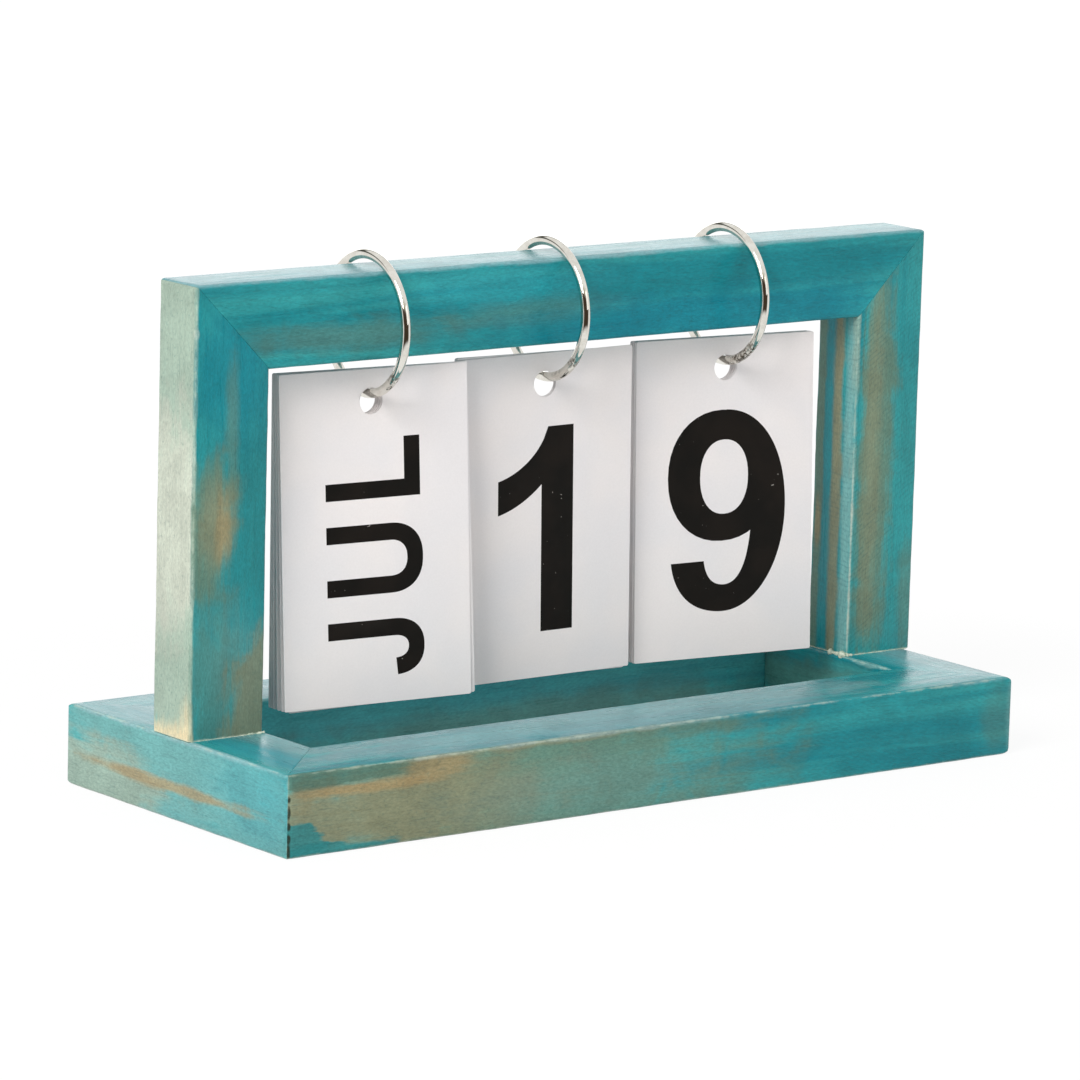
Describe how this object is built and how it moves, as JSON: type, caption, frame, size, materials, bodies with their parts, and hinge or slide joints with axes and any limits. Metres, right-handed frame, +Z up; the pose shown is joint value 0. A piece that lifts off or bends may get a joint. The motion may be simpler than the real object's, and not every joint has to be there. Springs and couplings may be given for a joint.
{
  "type": "perpetual desk calendar",
  "caption": "Perpetual desk calendar: mitred wooden frame on an open base, with month, tens and units cards that turn on loose-leaf rings.",
  "frame": {"origin": "middle of the base underside", "axes": "+X to the right seen from the front, along the top rail; -Y towards the viewer; +Z up"},
  "size_m": [0.2, 0.084, 0.1191],
  "materials": {
    "painted_wood": "satin teal stain with worn olive patches",
    "nickel": "polished nickel plate",
    "fastener_steel": "zinc plated",
    "card": "matt, printed in black"
  },
  "bodies": {
    "frame": {"base_front_rail": "painted_wood", "base_rear_rail": "painted_wood", "base_left_rail": "painted_wood", "base_right_rail": "painted_wood", "left_post": "painted_wood", "right_post": "painted_wood", "top_rail": "painted_wood", "base_corner_nails": "fastener_steel", "top_corner_nails": "fastener_steel", "post_screws": "fastener_steel"},
    "month_ring": {"month_ring_rear": "nickel", "month_ring_rivet": "nickel"},
    "month_ring_front": {"month_ring_front": "nickel"},
    "month_card_jun": {"month_card_jun": "card"},
    "month_card_may": {"month_card_may": "card"},
    "month_card_apr": {"month_card_apr": "card"},
    "month_card_mar": {"month_card_mar": "card"},
    "month_card_feb": {"month_card_feb": "card"},
    "month_card_jan": {"month_card_jan": "card"},
    "month_card_dec": {"month_card_dec": "card"},
    "month_card_nov": {"month_card_nov": "card"},
    "month_card_oct": {"month_card_oct": "card"},
    "month_card_sep": {"month_card_sep": "card"},
    "month_card_aug": {"month_card_aug": "card"},
    "month_card_jul": {"month_card_jul": "card"},
    "tens_ring": {"tens_ring_rear": "nickel", "tens_ring_rivet": "nickel"},
    "tens_ring_front": {"tens_ring_front": "nickel"},
    "tens_card_0": {"tens_card_0": "card"},
    "tens_card_3": {"tens_card_3": "card"},
    "tens_card_2": {"tens_card_2": "card"},
    "tens_card_1": {"tens_card_1": "card"},
    "units_ring": {"units_ring_rear": "nickel", "units_ring_rivet": "nickel"},
    "units_ring_front": {"units_ring_front": "nickel"},
    "units_card_8": {"units_card_8": "card"},
    "units_card_7": {"units_card_7": "card"},
    "units_card_6": {"units_card_6": "card"},
    "units_card_5": {"units_card_5": "card"},
    "units_card_4": {"units_card_4": "card"},
    "units_card_3": {"units_card_3": "card"},
    "units_card_2": {"units_card_2": "card"},
    "units_card_1": {"units_card_1": "card"},
    "units_card_0": {"units_card_0": "card"},
    "units_card_9": {"units_card_9": "card"}
  },
  "joints": [
    {"name": "month_ring_slide", "type": "slide", "parent": "frame", "child": "month_ring", "axis": [1, 0, 0], "range_m": [-0.0074, 0.0012]},
    {"name": "month_ring_open", "type": "hinge", "parent": "month_ring", "child": "month_ring_front", "pos_m": [-0.05077, 0.01373, 0.11142], "axis": [0.9994, -0.0349, 0], "range_deg": [-60, 0]},
    {"name": "month_card_jun_turn", "type": "hinge", "parent": "month_ring", "child": "month_card_jun", "pos_m": [-0.0512, 0.0013, 0.10303], "axis": [-1, 0, 0], "range_deg": [-100, 5]},
    {"name": "month_card_may_turn", "type": "hinge", "parent": "month_card_jun", "child": "month_card_may", "pos_m": [-0.0512, 0.0013, 0.10303], "axis": [-1, 0, 0], "range_deg": [0, 4]},
    {"name": "month_card_apr_turn", "type": "hinge", "parent": "month_card_may", "child": "month_card_apr", "pos_m": [-0.0512, 0.0013, 0.10303], "axis": [-1, 0, 0], "range_deg": [0, 4]},
    {"name": "month_card_mar_turn", "type": "hinge", "parent": "month_card_apr", "child": "month_card_mar", "pos_m": [-0.0512, 0.0013, 0.10303], "axis": [-1, 0, 0], "range_deg": [0, 4]},
    {"name": "month_card_feb_turn", "type": "hinge", "parent": "month_card_mar", "child": "month_card_feb", "pos_m": [-0.0512, 0.0013, 0.10303], "axis": [-1, 0, 0], "range_deg": [0, 4]},
    {"name": "month_card_jan_turn", "type": "hinge", "parent": "month_card_feb", "child": "month_card_jan", "pos_m": [-0.0512, 0.0013, 0.10303], "axis": [-1, 0, 0], "range_deg": [0, 4]},
    {"name": "month_card_dec_turn", "type": "hinge", "parent": "month_card_jan", "child": "month_card_dec", "pos_m": [-0.0512, 0.0013, 0.10303], "axis": [-1, 0, 0], "range_deg": [0, 4]},
    {"name": "month_card_nov_turn", "type": "hinge", "parent": "month_card_dec", "child": "month_card_nov", "pos_m": [-0.0512, 0.0013, 0.10303], "axis": [-1, 0, 0], "range_deg": [0, 4]},
    {"name": "month_card_oct_turn", "type": "hinge", "parent": "month_card_nov", "child": "month_card_oct", "pos_m": [-0.0512, 0.0013, 0.10303], "axis": [-1, 0, 0], "range_deg": [0, 4]},
    {"name": "month_card_sep_turn", "type": "hinge", "parent": "month_card_oct", "child": "month_card_sep", "pos_m": [-0.0512, 0.0013, 0.10303], "axis": [-1, 0, 0], "range_deg": [0, 4]},
    {"name": "month_card_aug_turn", "type": "hinge", "parent": "month_card_sep", "child": "month_card_aug", "pos_m": [-0.0512, 0.0013, 0.10303], "axis": [-1, 0, 0], "range_deg": [0, 4]},
    {"name": "month_card_jul_turn", "type": "hinge", "parent": "month_card_aug", "child": "month_card_jul", "pos_m": [-0.0512, 0.0013, 0.10303], "axis": [-1, 0, 0], "range_deg": [0, 60]},
    {"name": "tens_ring_slide", "type": "slide", "parent": "frame", "child": "tens_ring", "axis": [1, 0, 0], "range_m": [-0.0012, 0.0041]},
    {"name": "tens_ring_open", "type": "hinge", "parent": "tens_ring", "child": "tens_ring_front", "pos_m": [-0.00257, 0.01373, 0.11142], "axis": [0.9994, -0.0349, 0], "range_deg": [-60, 0]},
    {"name": "tens_card_0_turn", "type": "hinge", "parent": "tens_ring", "child": "tens_card_0", "pos_m": [-0.003, 0.0013, 0.10303], "axis": [-1, 0, 0], "range_deg": [-100, 5]},
    {"name": "tens_card_3_turn", "type": "hinge", "parent": "tens_card_0", "child": "tens_card_3", "pos_m": [-0.003, 0.0013, 0.10303], "axis": [-1, 0, 0], "range_deg": [0, 20]},
    {"name": "tens_card_2_turn", "type": "hinge", "parent": "tens_card_3", "child": "tens_card_2", "pos_m": [-0.003, 0.0013, 0.10303], "axis": [-1, 0, 0], "range_deg": [0, 20]},
    {"name": "tens_card_1_turn", "type": "hinge", "parent": "tens_card_2", "child": "tens_card_1", "pos_m": [-0.003, 0.0013, 0.10303], "axis": [-1, 0, 0], "range_deg": [0, 60]},
    {"name": "units_ring_slide", "type": "slide", "parent": "frame", "child": "units_ring", "axis": [1, 0, 0], "range_m": [-0.0041, 0.0106]},
    {"name": "units_ring_open", "type": "hinge", "parent": "units_ring", "child": "units_ring_front", "pos_m": [0.04763, 0.01373, 0.11142], "axis": [0.9994, -0.0349, 0], "range_deg": [-60, 0]},
    {"name": "units_card_8_turn", "type": "hinge", "parent": "units_ring", "child": "units_card_8", "pos_m": [0.0472, 0.0013, 0.10303], "axis": [-1, 0, 0], "range_deg": [-100, 5]},
    {"name": "units_card_7_turn", "type": "hinge", "parent": "units_card_8", "child": "units_card_7", "pos_m": [0.0472, 0.0013, 0.10303], "axis": [-1, 0, 0], "range_deg": [0, 5]},
    {"name": "units_card_6_turn", "type": "hinge", "parent": "units_card_7", "child": "units_card_6", "pos_m": [0.0472, 0.0013, 0.10303], "axis": [-1, 0, 0], "range_deg": [0, 5]},
    {"name": "units_card_5_turn", "type": "hinge", "parent": "units_card_6", "child": "units_card_5", "pos_m": [0.0472, 0.0013, 0.10303], "axis": [-1, 0, 0], "range_deg": [0, 5]},
    {"name": "units_card_4_turn", "type": "hinge", "parent": "units_card_5", "child": "units_card_4", "pos_m": [0.0472, 0.0013, 0.10303], "axis": [-1, 0, 0], "range_deg": [0, 5]},
    {"name": "units_card_3_turn", "type": "hinge", "parent": "units_card_4", "child": "units_card_3", "pos_m": [0.0472, 0.0013, 0.10303], "axis": [-1, 0, 0], "range_deg": [0, 5]},
    {"name": "units_card_2_turn", "type": "hinge", "parent": "units_card_3", "child": "units_card_2", "pos_m": [0.0472, 0.0013, 0.10303], "axis": [-1, 0, 0], "range_deg": [0, 5]},
    {"name": "units_card_1_turn", "type": "hinge", "parent": "units_card_2", "child": "units_card_1", "pos_m": [0.0472, 0.0013, 0.10303], "axis": [-1, 0, 0], "range_deg": [0, 5]},
    {"name": "units_card_0_turn", "type": "hinge", "parent": "units_card_1", "child": "units_card_0", "pos_m": [0.0472, 0.0013, 0.10303], "axis": [-1, 0, 0], "range_deg": [0, 5]},
    {"name": "units_card_9_turn", "type": "hinge", "parent": "units_card_0", "child": "units_card_9", "pos_m": [0.0472, 0.0013, 0.10303], "axis": [-1, 0, 0], "range_deg": [0, 60]}
  ]
}
